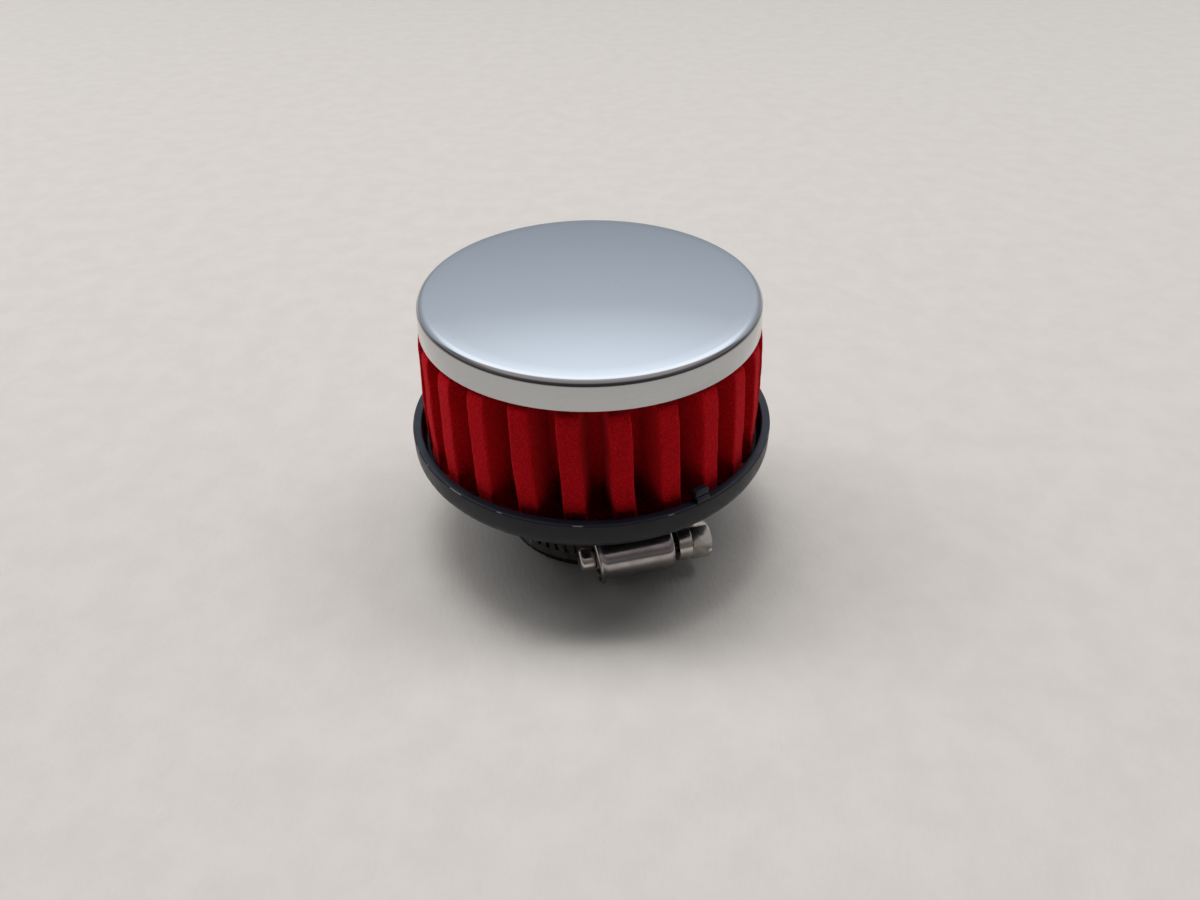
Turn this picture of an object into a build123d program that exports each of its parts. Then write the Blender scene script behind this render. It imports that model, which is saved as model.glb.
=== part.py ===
from build123d import *
import math
import os

# Sizes in millimetres. Z is the neck's axis, zero is the neck's end, the front is -Y.

# Neck sleeve, soft rubber
bore_r = 21.0
neck_wall = 1.8
neck_length = 25.5
mouth_chamfer = 0.6
sleeve_flange_w = 5.5
sleeve_flange_t = 2.0
sleeve_root_round = 1.5
spigot_below_floor = 0.3

# Base tray, moulded plastic
tray_r = 44.0
tray_depth = 7.5
rim_w = 2.2
floor_t = 2.4
tray_edge_round = 3.5
rim_round = 0.4
tray_inner_round = 1.0
sleeve_gap = 0.1

# Lug by the rim
lug_azimuth = 34.0
lug_w = 3.6
lug_inset = 0.6
lug_ledge = 0.9
lug_rise = 2.6
lug_toe_rise = 1.1
lug_toe_short = 0.3
lug_round = 0.4

# Bridge across the neck, inside the tube
bridge_w = 8.0
bridge_leg_t = 2.0
bridge_bar_t = 3.5
bridge_rise = 11.6
bridge_boss_r = 6.5
bridge_boss_t = 0.8
bridge_round = 3.0
bridge_gap = 0.2

# Chrome cap, pressed sheet
cap_inset = 1.75
cap_sheet = 0.8
cap_crown = 1.2
cap_edge_round = 1.7
skirt_height = 6.9
skirt_flare = 0.35
open_foam_height = 26.0

# Foam element
pleats = 24
pleat_turn = 2.2
pleat_rim_gap = 1.1
pleat_top_inset = 0.9
pleat_tip_w = 4.9
foam_web = 5.5
pleat_tip_round = 1.0
groove_floor_w = 2.6
straight_foam_height = 14.0
shoulder_drop = 1.8
foam_edge_round = 0.8
soft_gap = 0.3

# Support tube, slotted sheet rolled up with a plain seam strip
tube_sheet = 0.8
tube_slot_w = 4.0
tube_slot_h = 7.0
tube_slot_columns = 18
tube_slot_rows = 3
tube_slot_spacing = 9.4
tube_plain_end = 3.4
seam_strip_angle = 12.0
seam_azimuth = 180.0

# Dish under the cap that carries the stud
dish_sheet = 1.0
dish_depth = 4.0
dish_round = 1.2
dish_gap = 0.1
weld_gap = 0.05

# Stud, washers and nut
stud_r = 2.5
stud_point = 0.5
stud_head_r = 6.0
stud_head_t = 2.0
stud_past_nut = 1.5
stud_gap = 0.1
washer_r = 6.0
washer_t = 1.0
lock_washer_r = 4.6
lock_washer_t = 1.2
lock_washer_slit = 0.7
nut_across_flats = 8.0
nut_t = 4.0
nut_chamfer = 0.5
thread_gap = 0.05

# Worm clamp band, slotted strip
clamp_azimuth = 13.8
clamp_z = 8.5
band_w = 11.0
band_t = 0.6
band_gap = 0.05
layer_gap = 0.1
lap_start = 22.0
climb_end = 32.0
tail_end = -62.0
tail_round = 2.5
slot_pitch = 2.5
slot_w = 1.1
slot_length = 6.5
slot_tilt = 6.0
slots_each_way = 9

# Clamp housing, pressed sheet
housing_length = 18.9
housing_shift = 2.75
housing_sheet = 0.75
housing_side_gap = 0.1
tunnel_r = 5.7
tunnel_waist = 0.9
mouth_flare = 0.6
flare_length = 1.3
end_wall_t = 0.8
foot_turn_in = 2.2
foot_pocket_gap = 0.1

# Clamp screw
screw_tip_r = 3.0
screw_tip_reach = 3.95
screw_tip_round = 1.0
screw_core_r = 2.6
screw_neck_r = 2.3
screw_band_gap = 0.7
running_gap = 0.1
end_float = 0.2
collar_r = 4.3
collar_t = 3.5
collar_stand_off = 1.6
collar_round = 0.3
head_across_flats = 8.0
head_t = 4.85
head_facet_tilt = 57.0
head_chamfer = 0.7
driver_slot_w = 1.1
driver_slot_depth = 1.4

# Heights and radii that follow from the sizes above
neck_r = bore_r + neck_wall
tray_hole_r = neck_r + sleeve_gap
tray_in_r = tray_r - rim_w
lug_in_r = tray_in_r - lug_inset
lug_out_r = tray_r - lug_ledge
pleat_tip_r = tray_in_r - pleat_rim_gap
pleat_top_r = pleat_tip_r - pleat_top_inset
cap_r = pleat_tip_r - cap_inset
tray_floor_z = neck_length + floor_t
rim_z = neck_length + tray_depth
skirt_z = rim_z + open_foam_height
cap_edge_z = skirt_z + skirt_height
cap_top_z = cap_edge_z + cap_crown
skirt_r = cap_r + skirt_flare
crown_sphere_r = (cap_r**2 + cap_crown**2) / (2 * cap_crown)
tube_in_r = tray_hole_r + bridge_leg_t + bridge_gap
tube_r = tube_in_r + tube_sheet
foam_bore_r = tube_r + soft_gap
groove_floor_r = foam_bore_r + foam_web
pleat_depth = pleat_tip_r - groove_floor_r
bridge_top_z = tray_floor_z + bridge_rise
boss_under_z = bridge_top_z - bridge_bar_t - bridge_boss_t
lock_washer_top_z = boss_under_z - washer_t
nut_top_z = lock_washer_top_z - lock_washer_t
stud_end_z = nut_top_z - nut_t - stud_past_nut
layer_step = band_t + layer_gap
inner_layer_r = neck_r + band_gap + band_t / 2
outer_layer_r = inner_layer_r + layer_step
band_out_r = outer_layer_r + band_t / 2
screw_x = band_out_r + screw_tip_r + screw_band_gap


def outline(*corners):
    """Closed flat outline through (x, y, corner radius) triples."""
    shape = make_face(Polyline(*[(x, y) for x, y, _ in corners], close=True))
    for x, y, radius in corners:
        if radius > 0:
            corner = shape.vertices().sort_by_distance((x, y, 0))[0]
            shape = fillet(corner, radius)
    return shape


def turned(profile):
    """Solid turned about Z from a profile drawn as radius and height."""
    return revolve(Plane.XZ * profile, Axis.Z)


def rod(radius, low_z, high_z):
    """Plain round rod on Z between two heights."""
    return Pos(0, 0, low_z) * extrude(Circle(radius), high_z - low_z)


def from_front(azimuth):
    """Turn that brings +X to an azimuth counted from the front towards +X."""
    return Rot(0, 0, azimuth - 90)


# Chrome cap

def crown_z(radius):
    """Height of the cap's crowned top at a radius."""
    return cap_top_z - crown_sphere_r + math.sqrt(crown_sphere_r**2 - radius**2)


def cap_outline(inset, edge_round):
    """Half section of the cap as a full body, its wall moved in by an inset."""
    middle = (0, cap_top_z - inset)
    halfway = (cap_r / 2, crown_z(cap_r / 2) - inset)
    edge = (cap_r - inset, crown_z(cap_r) - inset)
    lip = (skirt_r - inset, skirt_z)
    foot = (0, skirt_z)
    shape = make_face([ThreePointArc(middle, halfway, edge), Polyline(edge, lip, foot, middle)])
    return fillet(shape.vertices().sort_by_distance((*edge, 0))[0], edge_round)


def make_cap():
    inner_round = max(cap_edge_round - cap_sheet, cap_edge_round / 2)
    return turned(cap_outline(0, cap_edge_round)) - turned(cap_outline(cap_sheet, inner_round))


# Dish and stud under the cap

dish_flange_z = crown_z(tube_r) - cap_sheet - weld_gap
tube_top_z = dish_flange_z - dish_sheet
dish_floor_z = dish_flange_z - dish_depth
foam_top_z = cap_edge_z - cap_sheet - soft_gap


def make_stud_dish():
    wall_r = tube_in_r - dish_gap
    dish = turned(outline(
        (0, dish_floor_z, 0),
        (wall_r, dish_floor_z, dish_round),
        (wall_r, tube_top_z, 0),
        (tube_r, tube_top_z, 0),
        (tube_r, dish_flange_z, 0),
        (wall_r - dish_sheet, dish_flange_z, dish_round),
        (wall_r - dish_sheet, dish_floor_z + dish_sheet, dish_round / 2),
        (0, dish_floor_z + dish_sheet, 0),
    ))
    return dish - rod(stud_r + stud_gap, dish_floor_z, dish_floor_z + dish_sheet)


def make_cap_stud():
    head_z = dish_floor_z + dish_sheet
    return turned(outline(
        (0, stud_end_z, 0),
        (stud_r, stud_end_z, stud_point),
        (stud_r, head_z, 0),
        (stud_head_r, head_z, 0),
        (stud_head_r, head_z + stud_head_t, stud_head_t / 2),
        (0, head_z + stud_head_t, 0),
    ))


# Washers and nut under the bridge

def make_bridge_washer():
    return rod(washer_r, lock_washer_top_z, boss_under_z) - rod(
        stud_r + stud_gap, lock_washer_top_z, boss_under_z
    )


def make_lock_washer():
    blank = rod(lock_washer_r, nut_top_z, lock_washer_top_z)
    slit = Pos(lock_washer_r, 0, nut_top_z + lock_washer_t / 2) * Rot(20, 0, 0) * Box(
        2 * lock_washer_r, lock_washer_slit, 2 * lock_washer_t
    )
    return blank - rod(stud_r + stud_gap, nut_top_z, lock_washer_top_z) - slit


def make_stud_nut():
    under_z = nut_top_z - nut_t
    prism = extrude(RegularPolygon(nut_across_flats / 2, 6, major_radius=False), nut_t)
    corner_r = nut_across_flats / math.sqrt(3)
    trim = turned(outline(
        (0, under_z, 0),
        (corner_r - nut_chamfer, under_z, 0),
        (corner_r, under_z + nut_chamfer, 0),
        (corner_r, nut_top_z, 0),
        (0, nut_top_z, 0),
    ))
    return (Pos(0, 0, under_z) * prism & trim) - rod(stud_r + thread_gap, under_z, nut_top_z)


# Foam element

def pleat_groove():
    """One groove seen from above, along +X, with a round floor and parallel walls at its tips."""
    tip_pitch = 2 * math.pi * pleat_tip_r / pleats
    mouth = (tip_pitch - pleat_tip_w) / 2
    floor = groove_floor_w / 2
    floor_round = min(floor * 0.8, pleat_depth * 0.4)
    outside = pleat_tip_r * 2 - groove_floor_r
    spread = mouth + (mouth - floor)
    return outline(
        (groove_floor_r, -floor, floor_round),
        (outside, -spread, 0),
        (outside, spread, 0),
        (groove_floor_r, floor, floor_round),
    )


def make_foam_element():
    star = Circle(pleat_tip_r) - Circle(foam_bore_r)
    star -= [location * pleat_groove() for location in foam_groove_places()]
    tips = star.vertices().filter_by(lambda corner: corner.center().length > pleat_tip_r - 0.01)
    star = fillet(tips, min(pleat_tip_round, pleat_depth * 0.4))
    blank = Pos(0, 0, tray_floor_z) * extrude(star, foam_top_z - tray_floor_z)
    held_r = cap_r - cap_sheet - soft_gap
    shoulder_z = skirt_z - soft_gap
    belly_z = tray_floor_z + straight_foam_height
    neck = (held_r, shoulder_z)
    shoulder = (pleat_top_r, shoulder_z - shoulder_drop)
    belly = (pleat_tip_r, belly_z)
    low = (pleat_tip_r, tray_floor_z)
    side = Polyline(shoulder, belly, low, (0, tray_floor_z), (0, foam_top_z), (held_r, foam_top_z), neck)
    bulge = ThreePointArc(neck, (pleat_top_r - 0.45, shoulder_z - shoulder_drop * 0.45), shoulder)
    envelope = make_face([side, bulge])
    envelope = fillet(envelope.vertices().sort_by_distance((*low, 0))[0], foam_edge_round)
    return blank & turned(envelope)


def foam_groove_places():
    """Places of the grooves, one of them near the front."""
    return [from_front(pleat_turn + index * 360 / pleats) for index in range(pleats)]


# Support tube

def make_support_tube():
    tube = rod(tube_r, tray_floor_z, tube_top_z) - rod(tube_in_r, tray_floor_z, tube_top_z)
    column_step = (360 - seam_strip_angle) / tube_slot_columns
    punch = Box(4 * tube_sheet, tube_slot_w, tube_slot_h)
    slots = []
    for row in range(tube_slot_rows):
        slot_z = tray_floor_z + tube_plain_end + tube_slot_h / 2 + row * tube_slot_spacing
        for column in range(tube_slot_columns):
            turn = seam_azimuth + seam_strip_angle / 2 + (column + 0.5) * column_step
            slots.append(from_front(turn) * Pos(tube_r - tube_sheet / 2, 0, slot_z) * punch)
    return tube - slots


# Neck sleeve

def make_neck_sleeve():
    under_flange_z = neck_length - sleeve_flange_t
    flange_r = neck_r + sleeve_flange_w
    spigot_z = tray_floor_z - spigot_below_floor
    sleeve = turned(outline(
        (bore_r + mouth_chamfer, 0, 0),
        (neck_r - mouth_chamfer / 2, 0, 0),
        (neck_r, mouth_chamfer / 2, 0),
        (neck_r, under_flange_z, sleeve_root_round),
        (flange_r, under_flange_z, mouth_chamfer),
        (flange_r, neck_length, 0),
        (neck_r, neck_length, 0),
        (neck_r, spigot_z, 0),
        (bore_r, spigot_z, 0),
        (bore_r, mouth_chamfer, 0),
    ))
    return sleeve - clamp_place * foot_pockets()


# Base tray

def make_base_tray():
    dish = turned(outline(
        (tray_hole_r, neck_length, 0),
        (tray_r, neck_length, tray_edge_round),
        (tray_r, rim_z, rim_round),
        (tray_in_r, rim_z, rim_round),
        (tray_in_r, tray_floor_z, tray_inner_round),
        (tray_hole_r, tray_floor_z, 0),
    ))
    return dish + make_lug() + make_bridge()


def make_lug():
    """Upright block inside the rim with a low toe out over the rim's top."""
    toe_r = tray_r - lug_toe_short
    side = outline(
        (lug_in_r, tray_floor_z - floor_t / 2, 0),
        (toe_r, tray_floor_z - floor_t / 2, 0),
        (toe_r, rim_z + lug_toe_rise, lug_round),
        (lug_out_r, rim_z + lug_toe_rise, 0),
        (lug_out_r, rim_z + lug_rise, lug_round),
        (lug_in_r, rim_z + lug_rise, lug_round),
    )
    return from_front(lug_azimuth) * extrude(Plane.XZ * side, lug_w / 2, both=True)


def make_bridge():
    """Arch from the tray's floor over the neck, with a boss for the stud."""
    leg_out = math.sqrt((tube_in_r - bridge_gap) ** 2 - (bridge_w / 2) ** 2)
    leg_in = leg_out - bridge_leg_t
    bar_under_z = bridge_top_z - bridge_bar_t
    side = outline(
        (-leg_out, tray_floor_z, 0),
        (-leg_out, bridge_top_z, bridge_round),
        (leg_out, bridge_top_z, bridge_round),
        (leg_out, tray_floor_z, 0),
        (leg_in, tray_floor_z, 0),
        (leg_in, bar_under_z, bridge_round / 2),
        (-leg_in, bar_under_z, bridge_round / 2),
        (-leg_in, tray_floor_z, 0),
    )
    arch = extrude(Plane.XZ * side, bridge_w / 2, both=True)
    boss = rod(bridge_boss_r, boss_under_z, bridge_top_z)
    return arch + boss - rod(stud_r + stud_gap, boss_under_z, bridge_top_z)


# Worm clamp. It is drawn with X pointing out through the screw and Y along the screw to its head.
clamp_place = Pos(0, 0, clamp_z) * from_front(clamp_azimuth)
housing_low_y = housing_shift - housing_length / 2
housing_high_y = housing_shift + housing_length / 2
end_wall_y = housing_high_y - end_wall_t
foot_side_z = band_w / 2 + housing_side_gap + housing_sheet
foot_r = neck_r - housing_sheet


def across_screw(y):
    """Plane square to the screw at a place along it, its X pointing out."""
    return Plane(origin=(0, y, 0), x_dir=(1, 0, 0), z_dir=(0, 1, 0))


def polar(radius, degrees):
    """Point on the clamp's middle plane at a radius and an angle from the screw."""
    angle = math.radians(degrees)
    return (radius * math.cos(angle), radius * math.sin(angle), 0)


def band_side(offset):
    """One side of the strip, seen along the neck: a turn of the inner layer that climbs to the outer."""
    half_step = layer_step / 2
    climb_centre = polar(half_step, climb_end)
    inner_turn = lap_start - climb_end + 180
    inner = CenterArc((0, 0), inner_layer_r + offset, lap_start, -inner_turn)
    climb_r = inner_layer_r + half_step + offset
    climb = CenterArc(climb_centre, climb_r, climb_end + 180, -180)
    outer = CenterArc((0, 0), outer_layer_r + offset, climb_end, tail_end - climb_end)
    return [inner, climb, outer]


def make_clamp_band():
    inside = band_side(-band_t / 2)
    outside = band_side(band_t / 2)
    start = Line(inside[0] @ 0, outside[0] @ 0)
    end = Line(inside[2] @ 1, outside[2] @ 1)
    strip = extrude(make_face(inside + outside + [start, end]), band_w / 2, both=True)
    tail_face = strip.faces().sort_by_distance(polar(outer_layer_r, tail_end))[0]
    corners = tail_face.edges().filter_by(lambda edge: abs(edge.center().Z) > band_w * 0.49)
    strip = fillet(corners, tail_round)
    step = math.degrees(slot_pitch / outer_layer_r)
    slots = []
    for index in range(-slots_each_way, slots_each_way + 1):
        deep = index * step > lap_start + 2
        depth = 3 * layer_step if deep else layer_step
        punch = Rot(slot_tilt, 0, 0) * Box(depth, slot_w, slot_length)
        slots.append(Rot(0, 0, index * step) * Pos(outer_layer_r, 0, 0) * punch)
    return strip - slots


def tunnel_section(side_z, arch_r):
    """Section of the pressing as a full body: straight feet under an arch round the screw."""
    foot_x = screw_x / 2
    bend_x = band_out_r + tunnel_waist
    return make_face([
        Polyline((screw_x, arch_r), (bend_x, side_z), (foot_x, side_z), (foot_x, -side_z),
                 (bend_x, -side_z), (screw_x, -arch_r)),
        ThreePointArc((screw_x, -arch_r), (screw_x + arch_r, 0), (screw_x, arch_r)),
    ])


def make_clamp_housing():
    inner_side = band_w / 2 + housing_side_gap
    inner_arch = tunnel_r - housing_sheet
    plain_y = housing_low_y + flare_length
    shell = extrude(across_screw(plain_y) * tunnel_section(foot_side_z, tunnel_r), housing_high_y - plain_y)
    shell += loft([
        across_screw(housing_low_y) * tunnel_section(foot_side_z, tunnel_r + mouth_flare),
        across_screw(plain_y) * tunnel_section(foot_side_z, tunnel_r),
    ])
    hollow = extrude(across_screw(plain_y) * tunnel_section(inner_side, inner_arch), end_wall_y - plain_y)
    hollow += loft([
        across_screw(housing_low_y) * tunnel_section(inner_side, inner_arch + mouth_flare),
        across_screw(plain_y) * tunnel_section(inner_side, inner_arch),
    ])
    band_way = extrude(across_screw(end_wall_y) * tunnel_section(inner_side, inner_arch), end_wall_t)
    band_way &= Cylinder(band_out_r + housing_side_gap, 2 * band_w)
    neck_hole = Circle(screw_neck_r + running_gap)
    neck_hole = extrude(across_screw(end_wall_y) * Pos(screw_x, 0) * neck_hole, end_wall_t)
    neck_way = Cylinder(foot_r, 2 * band_w)
    housing = shell - hollow - band_way - neck_hole - neck_way
    feet = housing_feet(foot_side_z, foot_side_z - foot_turn_in, foot_r, neck_r)
    return housing + feet


def housing_feet(side_z, inner_z, low_r, high_r, spare=0):
    """The two long feet turned in under the band, curved to the neck."""
    curve = Circle(high_r) - Circle(low_r)
    slab = Pos(0, 0, -side_z) * extrude(curve, side_z - inner_z)
    slab += Pos(0, 0, inner_z) * extrude(curve, side_z - inner_z)
    reach = Pos(bore_r, housing_shift, 0) * Box(bore_r, housing_length + 2 * spare, 3 * side_z)
    return slab & reach


def foot_pockets():
    """Room pressed into the soft neck by the housing's feet."""
    spare = foot_pocket_gap
    deep_r = foot_r - spare
    return housing_feet(foot_side_z + spare, foot_side_z - foot_turn_in - spare, deep_r, neck_r + 1, spare)


def make_clamp_screw():
    tip_y = housing_low_y - screw_tip_reach
    core_y = housing_low_y
    thrust_y = end_wall_y - end_float
    collar_y = housing_high_y + collar_stand_off
    head_y = collar_y + collar_t
    body = revolve(outline(
        (0, tip_y, 0),
        (screw_tip_r, tip_y, screw_tip_round),
        (screw_tip_r, core_y, 0),
        (screw_core_r, core_y, 0),
        (screw_core_r, thrust_y, 0),
        (screw_neck_r, thrust_y, 0),
        (screw_neck_r, collar_y, 0),
        (collar_r, collar_y, collar_round),
        (collar_r, head_y, collar_round),
        (0, head_y, 0),
    ), Axis.Y)
    return Pos(screw_x, 0, 0) * body + make_screw_head(head_y)


def make_screw_head(head_y):
    """Hexagon head with a chamfered end and a slot across it."""
    corner_r = head_across_flats / math.sqrt(3)
    hexagon = RegularPolygon(head_across_flats / 2, 6, major_radius=False)
    hexagon = Pos(screw_x, 0) * Rot(0, 0, 30 - head_facet_tilt) * hexagon
    prism = extrude(across_screw(head_y) * hexagon, head_t)
    end_y = head_y + head_t
    trim = Pos(screw_x, 0, 0) * revolve(outline(
        (0, head_y, 0),
        (corner_r, head_y, 0),
        (corner_r, end_y - head_chamfer, 0),
        (corner_r - head_chamfer, end_y, 0),
        (0, end_y, 0),
    ), Axis.Y)
    slot = Pos(screw_x, end_y, 0) * Rot(0, 60 - head_facet_tilt, 0) * Box(
        3 * corner_r, 2 * driver_slot_depth, driver_slot_w
    )
    return (prism & trim) - slot


PIECES = {
    "cap": make_cap,
    "stud_dish": make_stud_dish,
    "cap_stud": make_cap_stud,
    "bridge_washer": make_bridge_washer,
    "lock_washer": make_lock_washer,
    "stud_nut": make_stud_nut,
    "foam_element": make_foam_element,
    "support_tube": make_support_tube,
    "base_tray": make_base_tray,
    "neck_sleeve": make_neck_sleeve,
    "clamp_band": lambda: clamp_place * make_clamp_band(),
    "clamp_housing": lambda: clamp_place * make_clamp_housing(),
    "clamp_screw": lambda: clamp_place * make_clamp_screw(),
}

os.makedirs("parts", exist_ok=True)
for name, make in PIECES.items():
    export_step(make(), f"parts/{name}.step")
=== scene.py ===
import bmesh
import bpy
import math
import random
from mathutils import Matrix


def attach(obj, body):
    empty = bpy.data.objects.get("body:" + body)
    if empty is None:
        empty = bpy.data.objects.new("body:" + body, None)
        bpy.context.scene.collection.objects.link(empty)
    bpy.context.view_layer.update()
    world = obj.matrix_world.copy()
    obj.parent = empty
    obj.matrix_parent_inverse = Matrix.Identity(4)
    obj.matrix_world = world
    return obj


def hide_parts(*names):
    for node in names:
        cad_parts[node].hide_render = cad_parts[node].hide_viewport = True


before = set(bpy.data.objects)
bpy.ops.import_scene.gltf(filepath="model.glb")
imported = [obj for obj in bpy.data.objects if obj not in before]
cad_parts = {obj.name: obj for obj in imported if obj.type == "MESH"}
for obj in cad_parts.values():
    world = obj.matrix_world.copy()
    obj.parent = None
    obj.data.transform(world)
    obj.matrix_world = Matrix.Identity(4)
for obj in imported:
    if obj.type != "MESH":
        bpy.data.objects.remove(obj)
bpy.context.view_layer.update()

MM = 0.001


# Camera
# A phone held about 18 cm in front of the filter's neck and 16 cm above the table, looking
# down at it, with the small turn of the hand that the photograph shows.
camera_data = bpy.data.cameras.new("camera")
camera_data.sensor_width = 36.0
camera_data.lens = 26.16
camera_data.clip_start = 0.01
camera_data.clip_end = 50.0
camera = bpy.data.objects.new("camera", camera_data)
camera.location = (0.0020, -0.17887, 0.15725)
camera.rotation_mode = "ZXY"
camera.rotation_euler = (math.radians(52.36), 0.0, math.radians(-0.6))
bpy.context.scene.collection.objects.link(camera)
bpy.context.scene.camera = camera


# Studio light
# A soft sun and a wide lamp, both overhead, a little behind and to the left, in a plain room.
# What shines sees the room bright up behind the table and dim where the viewer stands.
def node(tree, kind, inputs=None, **settings):
    """Adds one node, with its settings and the values or links of its inputs."""
    made = tree.nodes.new(kind)
    for name, value in settings.items():
        setattr(made, name, value)
    for name, value in (inputs or {}).items():
        if isinstance(value, bpy.types.NodeSocket):
            tree.links.new(value, made.inputs[name])
        else:
            made.inputs[name].default_value = value
    return made


def ramp(tree, factor, *stops):
    """Colour ramp through (place, colour) stops, and its colour output."""
    made = node(tree, "ShaderNodeValToRGB", {"Fac": factor})
    while len(made.color_ramp.elements) < len(stops):
        made.color_ramp.elements.new(0.5)
    for element, (place, colour) in zip(made.color_ramp.elements, stops):
        element.position = place
        element.color = (*colour, 1.0)
    return made.outputs["Color"]


def calculate(tree, operation, *values):
    """One step of arithmetic between sockets or numbers."""
    return node(tree, "ShaderNodeMath", dict(enumerate(values)), operation=operation).outputs[0]


def rising(tree, value, low, high, start=0.0, end=1.0):
    """Goes in a soft curve from start to end while the value goes from low to high."""
    limits = {"Value": value, "From Min": low, "From Max": high, "To Min": start, "To Max": end}
    return node(
        tree, "ShaderNodeMapRange", limits, interpolation_type="SMOOTHSTEP"
    ).outputs["Result"]


room = bpy.data.worlds.new("room")
room.use_nodes = True
bpy.context.scene.world = room
tree = room.node_tree
tree.nodes.clear()
direction = node(tree, "ShaderNodeTexCoord").outputs["Generated"]
toward = node(tree, "ShaderNodeSeparateXYZ", {"Vector": direction}).outputs
sideways = calculate(tree, "MULTIPLY", toward["X"], toward["X"])
far_wall = ramp(
    tree, toward["Z"],
    (0.0, (0.22, 0.23, 0.25)),
    (0.27, (0.25, 0.285, 0.325)),
    (0.50, (0.42, 0.46, 0.52)),
    (0.60, (0.66, 0.73, 0.82)),
    (0.68, (0.84, 0.92, 1.03)),
    (0.82, (0.97, 1.01, 1.08)),
)
near_wall = ramp(
    tree, toward["Z"],
    (0.0, (0.055, 0.052, 0.052)),
    (0.12, (0.050, 0.048, 0.048)),
    (0.25, (0.095, 0.092, 0.092)),
    (0.36, (0.070, 0.067, 0.068)),
    (0.50, (0.058, 0.054, 0.055)),
    (0.60, (0.130, 0.118, 0.120)),
    (0.70, (0.200, 0.180, 0.184)),
    (0.85, (0.210, 0.200, 0.205)),
    (1.00, (0.340, 0.350, 0.370)),
)
side_walls = node(
    tree, "ShaderNodeVectorMath", {0: near_wall, "Scale": calculate(tree, "ADD", sideways, 1.0)},
    operation="SCALE",
).outputs["Vector"]
behind = calculate(tree, "MULTIPLY_ADD", sideways, -0.45, toward["Y"])
walls = node(
    tree, "ShaderNodeMix", {0: rising(tree, behind, -0.16, 0.06), 6: side_walls, 7: far_wall},
    data_type="RGBA",
).outputs[2]
fill = calculate(
    tree, "MULTIPLY",
    rising(tree, sideways, 0.2, 1.0, 0.0, 0.85),
    rising(tree, toward["Y"], -0.4, 0.05, 0.02, 1.0),
)
ray = node(tree, "ShaderNodeLightPath").outputs
shine = node(tree, "ShaderNodeBackground", {"Color": walls, "Strength": 1.72})
soft = node(tree, "ShaderNodeBackground", {"Color": (0.97, 1.0, 1.0, 1.0), "Strength": fill})
light = node(
    tree, "ShaderNodeMixShader",
    {0: ray["Is Glossy Ray"], 1: soft.outputs[0], 2: shine.outputs[0]},
)
seen = node(tree, "ShaderNodeBackground", {"Color": (0.68, 0.665, 0.645, 1.0), "Strength": 1.0})
mixed = node(
    tree, "ShaderNodeMixShader",
    {0: ray["Is Camera Ray"], 1: light.outputs[0], 2: seen.outputs[0]},
)
node(tree, "ShaderNodeOutputWorld", {"Surface": mixed.outputs[0]})

sun_data = bpy.data.lights.new("soft_sun", "SUN")
sun_data.angle = math.radians(22.0)
sun_data.energy = 0.75
sun_data.color = (1.0, 0.985, 0.965)
sun = bpy.data.objects.new("soft_sun", sun_data)
sun.rotation_euler = (math.radians(-12.0), math.radians(-6.0), 0.0)
lamp_data = bpy.data.lights.new("overhead_lamp", "AREA")
lamp_data.shape = "RECTANGLE"
lamp_data.size = 2.6
lamp_data.size_y = 0.38
lamp_data.energy = 17.8
lamp_data.color = (1.0, 0.985, 0.965)
lamp = bpy.data.objects.new("overhead_lamp", lamp_data)
lamp.location = (-0.14, 0.27, 1.3)
lamp.rotation_euler = (math.radians(-12.0), math.radians(-6.0), 0.0)
for overhead in (sun, lamp):
    overhead.visible_glossy = False
    bpy.context.scene.collection.objects.link(overhead)

bpy.context.scene.view_settings.view_transform = "Standard"


# Floor
# A plain pale table top covered with smooth grey paper board, with its fine fibres.
def material(name, **values):
    """New material with these values on its shader, and the shader's sockets by name."""
    made = bpy.data.materials.new(name)
    made.use_nodes = True
    shader = made.node_tree.nodes["Principled BSDF"]
    for socket, value in values.items():
        shader.inputs[socket.replace("_", " ")].default_value = value
    return made, made.node_tree, shader.inputs


def place_on(tree, scale=(1.0, 1.0, 1.0), turn=(0.0, 0.0, 0.0)):
    """The object's own coordinates, stretched and turned for a pattern."""
    coordinates = node(tree, "ShaderNodeTexCoord").outputs["Object"]
    mapping = {"Vector": coordinates, "Scale": scale, "Rotation": turn}
    return node(tree, "ShaderNodeMapping", mapping).outputs["Vector"]


def noise(tree, vector, scale, detail=2.0, rough=0.5):
    """Cloudy pattern of a scale in turns per metre."""
    values = {"Vector": vector, "Scale": scale, "Detail": detail, "Roughness": rough}
    return node(tree, "ShaderNodeTexNoise", values).outputs["Fac"]


def bump(tree, height, depth, strength=1.0):
    """Normal from a height pattern that is depth metres deep."""
    values = {"Height": height, "Distance": depth, "Strength": strength}
    return node(tree, "ShaderNodeBump", values).outputs["Normal"]


def effect(name, *inputs):
    """Starts a shared effect: a node group, the sockets of its inputs, and its Mask output."""
    group = bpy.data.node_groups.new(name, "ShaderNodeTree")
    group.interface.new_socket("Vector", in_out="INPUT", socket_type="NodeSocketVector")
    for socket in inputs:
        group.interface.new_socket(socket, in_out="INPUT", socket_type="NodeSocketFloat")
    group.interface.new_socket("Mask", in_out="OUTPUT", socket_type="NodeSocketFloat")
    given = node(group, "NodeGroupInput").outputs
    return group, given, node(group, "NodeGroupOutput").inputs["Mask"]


def masked(tree, group, vector, **values):
    """The mask that a shared effect gives here, with its own values."""
    shared = node(tree, "ShaderNodeGroup", {"Vector": vector, **values}, node_tree=group)
    return shared.outputs["Mask"]


def blended(tree, mask, plain, marked):
    """Colour, or grey for a plain number, that goes from one to the other with a mask."""
    pair = [value if isinstance(value, tuple) else (value,) * 3 for value in (plain, marked)]
    return ramp(tree, mask, (0.0, pair[0]), (1.0, pair[1]))


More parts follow.
